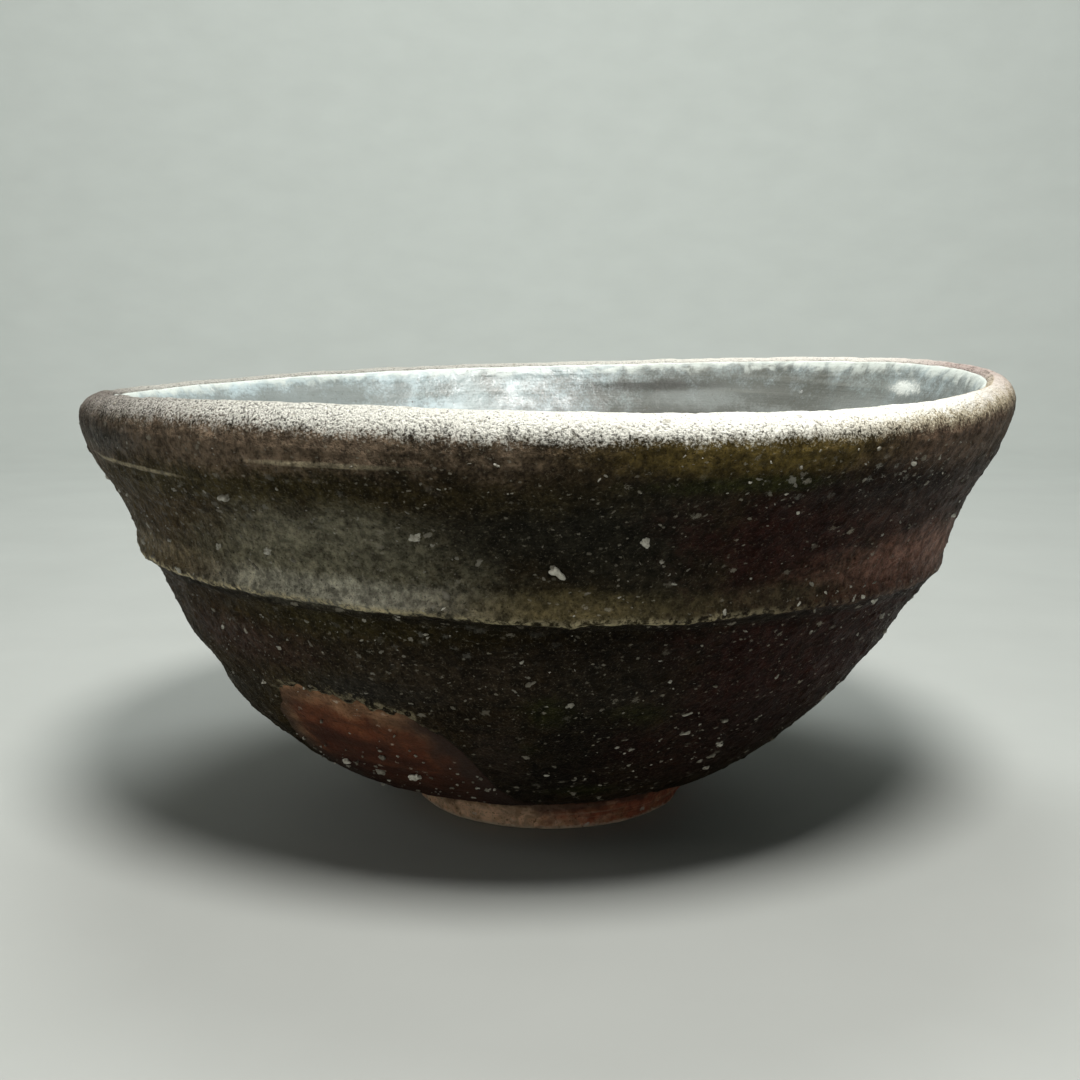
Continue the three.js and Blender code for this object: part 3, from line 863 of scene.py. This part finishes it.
# Painted side light: below the lip, the left of the wall is made lighter and the right a little darker, as
# a lamp from the left front would light it.
painted_side_light = times(ramp(side, -0.05, -0.75, 1.0, 1.65), ramp(side, 0.2, 0.6, 1.0, 0.86))
sheltered = times(ramp(at["Above Ridge"], 0.0, -3.0), ramp(side, -0.55, -0.15))
tone = shade(tone, painted_side_light, ramp(at["Height"], 62.5, 58.5, 0.1, 1.0))
tone = shade(tone, (0.80, 0.72, 0.70), sheltered)
# The lip: partly the pale ash over its crest and partly a painted highlight, whitest and widest at the
# front, where the lamp above lights it, and narrowing round the sides.
lip_grain = times_plus(glaze_grain, 2.0, times(fine_mottle, 0.9))
lip_turn = maths("ABSOLUTE", maths("SUBTRACT", at["Turn"], 8.0))
lip_white_and_highlight = maths("ADD", ramp(lip_turn, 80.0, 26.0), ramp(lip_turn, 84.0, 112.0, 0.0, 0.6))
lip_back = ramp(lip_turn, 70.0, 110.0, 0.0, 1.4)
lip_rise = times_plus(lip_white_and_highlight, ramp(side, -0.87, -0.17, 0.5, 1.0), lip_back)
lip_height = maths("ADD", at["Height"], maths("ADD", lip_rise, lip_grain))
lip_pale_and_lit = ramp(lip_height, 65.9, 68.2)
lip_sides = blend_colour(ramp(side, 0.17, 0.87), (0.215, 0.185, 0.165), (0.40, 0.320, 0.290))
lip_colour_and_highlight = blend_colour(lip_white_and_highlight, lip_sides, (0.80, 0.79, 0.72))
cream_turn = times(ramp(at["Turn"], 18.0, 45.0), ramp(at["Turn"], 85.0, 62.0))
cream = times(cream_turn, ramp(lip_height, 69.2, 67.2))
lip_colour_and_highlight = lay(lip_colour_and_highlight, (0.42, 0.34, 0.19), cream, 0.75)
left_lip = times(ramp(side, 0.0, -0.7), ramp(lip_turn, 104.0, 84.0, 0.3, 1.0))
gritty_lip = times(left_lip, ramp(glaze_grain, 0.58, 0.25, 0.0, 0.75))
lip_pale_and_lit = times(lip_pale_and_lit, maths("SUBTRACT", 1.0, gritty_lip))
tone = blend_colour(lip_pale_and_lit, tone, lip_colour_and_highlight)
crust_place = times_plus(fine_mottle, 1.6, at["Above Edge"])
crust_top = times(ramp(at["Height"], 23.5, 26.0), ramp(at["Turn"], -45.0, -41.5))
crust_edge = times(ramp(crust_place, 2.4, 1.3), crust_top)
crusty = times(crust_edge, ramp(clump, 0.42, 0.60, 0.0, 0.95))
tone = lay(tone, (0.290, 0.250, 0.155), crusty)
# Painted highlights: pale glints on the tops of the sand grains, more of them on the left.
sand_glints = ramp(glaze_grain, 0.64, 1.10)
glint_share = ramp(side, -0.5, 0.35, 0.70, 0.30)
tone = lay(tone, (0.24, 0.21, 0.15), times(sand_glints, glint_share))
# Painted shade: the low places between the sand grains are darkened.
sand_pit_shade = ramp(glaze_grain, 0.42, -0.1)
tone = lay(tone, (0.005, 0.004, 0.003), sand_pit_shade, 0.85)
big_specks = effect(at, specks, Size=0.7, Apart=3.0, Share=0.5, Drawn_Out=1.6, Seed=1.0)
small_specks = effect(at, specks, Size=0.30, Apart=1.1, Share=0.45, Drawn_Out=1.5, Seed=5.0)
all_specks = maths("MAXIMUM", times(big_specks, 0.7), times(small_specks, 0.75))
tone = lay(tone, (0.36, 0.33, 0.26), all_specks)
smudges = effect(at, specks, Size=0.8, Apart=2.1, Share=0.75, Drawn_Out=1.6, Seed=33.0)
SMUDGE_MARKS = [(38, 58.8, 18, 2.6, 0.9), (-26, 37.0, 24, 3.0, 0.5), (-40, 55.5, 20, 4.5, 0.5)]
for *spread, share in SMUDGE_MARKS:
    crowd = patch_mask(at, *spread, 0.7, 0.6)
    tone = lay(tone, (0.30, 0.29, 0.25), times(smudges, crowd), share)
gloss = ramp(fine_mottle, 0.0, 1.0, 0.62, 0.42)
gloss = blend_colour(all_specks, gloss, (0.35, 0.35, 0.35))
tooth = times_plus(glaze_grain, 0.25, times(glaze_streak, 0.12))
tooth = times_plus(clump, 0.32, tooth)
tooth = times(tooth, ramp(side, -0.42, 0.5, 1.5, 0.7))
finish_surface(shader, tone, roughness=gloss, relief=times_plus(all_specks, 0.18, tooth))
finish_piece(lower_coat, ash_glaze, "ash_glaze", "outer_glaze")
finish_piece(upper_coat, ash_glaze, "ash_glaze", "outer_glaze")

# ---------------------------------------------------------------- The inner glaze
# A paler, glossier coat poured inside: blue-white where it pooled thick, grey-brown and freckled where
# it ran thin, over the soft spiral of the potter's fingers, with a shallow pool on the floor.
INNER_TURNS = 640


def inside_relief(turn, height, places):
    """Finger rings that climb in a spiral, soft lumps, and a little sand near the lip."""
    spiral = height + 7.5 * turn / 360
    fingers = 0.16 * np.sin(2 * np.pi * spiral / 7.5) * ease(height, 10, 16) * (1 - ease(height, 56, 62))
    lump = 0.22 * lumps(places, 10.0, 31) + 0.07 * lumps(places, 2.6, 32, 2)
    at_lip = ease(height, 61, 65)
    return (fingers + lump) * (1 - at_lip) + lip_relief(places) * at_lip - 0.3 * ease(height, 66.3, 67.0)


def no_relief(turn, height, places):
    return 0 * height


inner_rows = np.concatenate([
    np.linspace(CREST_STATION + 0.25, 21, 48), np.linspace(21.06, LAST_STATION - 0.04, 110)])
inner_turns = even_turns(INNER_TURNS)
inner_face, inner_height = wall_skin(inner_turns, inner_rows, COAT_FACE, inside_relief)
inner_back, back_height = wall_skin(inner_turns, inner_rows[::-10], COAT_BACK, no_relief)
lining = skin_mesh(
    "poured_lining", np.concatenate([inner_back, inner_face], axis=1), False,
    wall_height=np.concatenate([back_height, inner_height], axis=1))

pale_glaze, tree, shader = new_material("pale_glaze", IOR=1.5)
at = add_node(tree, "Group", node_tree=wall_place).outputs
pool_mottle = effect(at, mottle, Size=16.0)
lining_mottle = effect(at, mottle, Size=3.2)
lining_streak = effect(at, streaks, Length=60.0, Pitch=2.4)
lining_grain = effect(at, grit, Size=0.7, Contrast=1.6)
blue_white = (0.38, 0.455, 0.475)
grey_brown = (0.085, 0.085, 0.073)
tone = blend_colour(pool_mottle, blue_white, (0.27, 0.31, 0.305))
INSIDE_MARKS = [
    (140, 54, 46, 14, 0.5, 0.45, 0.95, grey_brown),
    (85, 56, 28, 12, 0.7, 0.5, 0.85, grey_brown),
    (112, 58, 12, 3.0, 0.7, 0.8, 0.55, (0.25, 0.27, 0.26)),
    (135, 56, 7, 2.2, 0.7, 0.8, 0.55, (0.25, 0.27, 0.26)),
    (150, 60, 9, 2.0, 0.7, 0.8, 0.5, (0.25, 0.27, 0.26)),
    (20, 40, 50, 12, 0.7, 0.8, 0.5, grey_brown),
    (-120, 62, 50, 3.0, 0.6, 1.0, 0.7, (0.14, 0.145, 0.13)),
    (160, 62.3, 11, 1.0, 0.6, 0.4, 0.9, (0.045, 0.045, 0.04)),
    # Painted highlight: a small white spot on the inner crest at the right end of the rim.
    (106, 63.0, 4.2, 1.0, 0.5, 0.9, 0.9, (0.66, 0.68, 0.64)),
    # Painted shade: a dark band low on the far inside wall, just above the front lip as seen from the
    # front.
    (180, 45, 55, 4.5, 0.6, 0.4, 0.75, (0.10, 0.115, 0.125)),
    (-60, 34, 30, 8, 0.7, 0.8, 0.4, (0.24, 0.24, 0.18)),
]
tone = patches(at, tone, INSIDE_MARKS)
rim_place = times_plus(lining_mottle, 1.6, at["Height"])
tone = lay(tone, (0.50, 0.53, 0.49), ramp(rim_place, 65.4, 67.4), 0.85)
tone = lay(tone, (0.24, 0.24, 0.21), ramp(lining_streak, 0.5, 0.75), 0.35)
tone = lay(tone, (0.10, 0.095, 0.08), ramp(lining_grain, 0.38, 0.1), 0.6)
pool = ramp(at["Height"], 13.5, 9.0)
tone = lay(tone, (0.22, 0.27, 0.21), pool, 0.7)
lining_specks = effect(at, specks, Size=0.6, Apart=3.2, Share=0.3, Seed=12.0)
tone = lay(tone, (0.62, 0.64, 0.62), lining_specks, 0.45)
iron_specks = effect(at, specks, Size=0.4, Apart=3.1, Share=0.4, Seed=21.0)
tone = lay(tone, (0.07, 0.05, 0.035), iron_specks, 0.8)
lining_tooth = times_plus(lining_grain, 0.06, times(lining_streak, 0.2))
finish_surface(
    shader, tone, roughness=ramp(lining_mottle, 0.0, 1.0, 0.30, 0.48),
    relief=times_plus(lining_specks, 0.08, lining_tooth))
finish_piece(lining, pale_glaze, "pale_glaze", "inner_glaze")

# ---------------------------------------------------------------- The feldspar grains
# Lumps of feldspar in the clay that swelled and came through the glaze in the fire. The large ones
# are each a piece, and the crumbs and flakes too small to count make one piece of each kind.
feldspar, tree, shader = new_material("feldspar", Roughness=0.4)
at = add_node(tree, "Group", node_tree=wall_place).outputs
stone_mottle = effect(at, mottle, Size=0.45)
stone_grain = effect(at, grit, Size=0.25, Contrast=1.5)
paleness = add_node(tree, "Attribute", attribute_name="paleness").outputs["Fac"]
tone = blend_colour(paleness, (0.060, 0.050, 0.030), (0.62, 0.60, 0.52))
tone = lay(tone, (0.16, 0.14, 0.10), stone_mottle, 0.6)
tone = lay(tone, (0.05, 0.042, 0.03), ramp(stone_grain, 0.40, 0.05))
finish_surface(
    shader, tone, roughness=ramp(stone_mottle, 0.0, 1.0, 0.3, 0.6),
    relief=times(stone_grain, 0.06))


def ball(cuts):
    """Points and triangles of a ball of diameter 1."""
    form = bmesh.new()
    bmesh.ops.create_icosphere(form, subdivisions=cuts, radius=0.5)
    points = np.array([v.co for v in form.verts])
    faces = np.array([[v.index for v in f.verts] for f in form.faces])
    form.free()
    return points, faces


KNOCK_SIZE = 0.42
KNOCK_DEPTH = 0.85
STONE_STEP = 3.1


def stones(turn, height, offset, size, tilt, seed, cuts):
    """Broken stones lying on the outside of the wall. size holds each stone's length, width and thickness
    in millimetres, and tilt its lean from level in degrees. Gives their points, faces and points each."""
    station = station_at(height)

    def on_wall(turn, station):
        radius, wall_height = wall_section(station, offset)
        return thrown(turn, radius, wall_height), wall_height

    place, wall_height = on_wall(turn, station)
    across = on_wall(turn + 1, station)[0] - place
    upward = on_wall(turn, station + 0.05)[0] - place
    across /= np.linalg.norm(across, axis=1)[:, None]
    outward = np.cross(across, upward)
    outward /= np.linalg.norm(outward, axis=1)[:, None]
    upward = np.cross(outward, across)
    glazed = height > glaze_line(turn)
    place = place + outward * np.where(glazed, outside_relief(turn, wall_height, place), 0)[:, None]
    lean = np.radians(tilt)[:, None]
    long_way = across * np.cos(lean) + upward * np.sin(lean)
    axes = np.stack([long_way, np.cross(outward, long_way), outward], axis=1) * size[..., None]
    form_points, form_faces = ball(cuts)
    whole = place[:, None, :] + form_points @ axes
    away = whole - place[:, None, :]
    rough = whole + np.arange(len(turn))[:, None, None] * STONE_STEP
    biggest = size.max(axis=1)[:, None, None]
    knocked = lumps(rough / biggest, KNOCK_SIZE, seed, 2)[..., None]
    faces = form_faces[None] + np.arange(len(turn))[:, None, None] * len(form_points)
    return (whole + away * KNOCK_DEPTH * knocked).reshape(-1, 3), faces.reshape(-1, 3), len(form_points)


def stone_piece(name, points, faces, paleness):
    piece = add_mesh(name, points * MM + np.array(AXIS), faces.tolist())
    layer = piece.data.attributes.new("paleness", "FLOAT", "POINT")
    layer.data.foreach_set("value", np.asarray(paleness, np.float32))
    return piece


# The named grains: how far each leans from level, its width as a share of its length, and how white it
# is. A stone is a little shorter than the box that its node fills, and half as thick as it is long.
GRAIN_LENGTH = 0.85
GRAIN_THICKNESS = 0.55
GRAIN_SHAPES = [
    (-38, 0.42, 1.0), (-60, 0.75, 0.9), (10, 0.8, 0.8), (5, 0.45, 0.7), (-15, 0.7, 0.8), (40, 0.7, 0.7),
    (8, 0.5, 0.8), (-8, 0.5, 1.0), (0, 0.65, 1.0), (-30, 0.7, 0.6), (20, 0.6, 0.5), (-20, 0.6, 0.6),
    (0, 0.6, 0.8), (30, 0.6, 0.7), (-25, 0.6, 0.9), (15, 0.7, 0.6), (-40, 0.6, 0.8), (5, 0.5, 0.9),
]
grain_names = sorted(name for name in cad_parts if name.startswith("feldspar_grain_"))
for number, name in enumerate(grain_names):
    low, high = (np.array(corner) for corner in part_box(name))
    middle = ((low + high) / 2 - np.array(AXIS)) / MM
    length = GRAIN_LENGTH * (high - low).max() / MM
    tilt, slimness, white = GRAIN_SHAPES[number]
    turn = np.degrees(np.arctan2(middle[0] + LEAN * (1 - middle[2] / RIM_HEIGHT), -middle[1]))
    points, faces, count = stones(
        np.array([turn]), np.array([middle[2]]), COAT_FACE,
        np.array([[length, length * slimness, length * GRAIN_THICKNESS]]), np.array([tilt]),
        40 + number, 4)
    grain = stone_piece("stone_" + name[-2:], points, faces, np.full(count, white))
    finish_piece(grain, feldspar, "feldspar", name)

# Crumbs lie thinly all over, in crowds here and there, and thickest in these places
# (turn, height, half turn, half height, how much thicker).
CRUMB_CROWDS = [
    (38, 59, 17, 3.2, 3.0), (-44, 55, 13, 4.0, 1.6), (-25, 50, 16, 5.0, 1.6), (-27, 37.5, 20, 3.0, 2.2),
    (-5, 58.5, 14, 1.2, 2.0), (-24, 43, 24, 1.5, 1.5), (20, 22, 20, 6.0, 2.2), (0, 30, 14, 5.0, 1.5),
    (-30, 29.5, 12, 1.5, 3.5), (-25, 15, 18, 1.5, 2.5), (30, 44, 14, 2.5, 1.8), (140, 50, 25, 6.0, 2.0),
    (-140, 35, 25, 6.0, 2.0), (-100, 58, 20, 4.0, 1.5),
]
# How many of each kind are wanted, their shortest and longest in millimetres, and how finely each is cut.
CRUMB_KINDS = {"feldspar_crumbs": (1500, 0.20, 0.55, 2), "feldspar_flakes": (260, 0.55, 1.15, 3)}
CRUMB_THICKNESS = 0.65
CRUMB_SINK = 0.12
TRIES_EACH = 12


def crumb_places(random, wanted):
    """Turns and heights for crumbs, gathered where they lie thick."""
    tries = TRIES_EACH * wanted
    turn, height = random.uniform(-180, 180, tries), random.uniform(9, 63, tries)
    radius, level = wall_section(station_at(height), COAT_FACE)
    chance = 0.05 + 0.45 * ease(lumps(thrown(turn, radius, level), 10.0, 62, 2), -0.2, 0.7)
    for middle_turn, middle_height, half_turn, half_height, thicker in CRUMB_CROWDS:
        near = hump(turn_gap(turn, middle_turn), 0, half_turn) * hump(height, middle_height, half_height)
        chance = chance + 0.22 * thicker * near
    kept = random.random(tries) < chance * 0.7
    return turn[kept][:wanted], height[kept][:wanted]


random = np.random.default_rng(7)
for name, (wanted, smallest, largest, cuts) in CRUMB_KINDS.items():
    crumb_turn, crumb_height = crumb_places(random, wanted)
    crumb_count = len(crumb_turn)
    length = smallest + (largest - smallest) * random.random(crumb_count) ** 2.4
    long_side = length * random.uniform(0.9, 1.6, crumb_count)
    short_side = length * random.uniform(0.45, 0.9, crumb_count)
    crumb_size = np.stack([long_side, short_side, length * CRUMB_THICKNESS], -1)
    white = 0.08 + 0.85 * random.random(crumb_count) ** 2.2
    lean = random.uniform(-60, 60, crumb_count)
    points, faces, count = stones(
        crumb_turn, crumb_height, COAT_FACE - CRUMB_SINK * length, crumb_size, lean, 61, cuts)
    crumbs = stone_piece(name, points, faces, np.repeat(white, count))
    finish_piece(crumbs, feldspar, "feldspar")
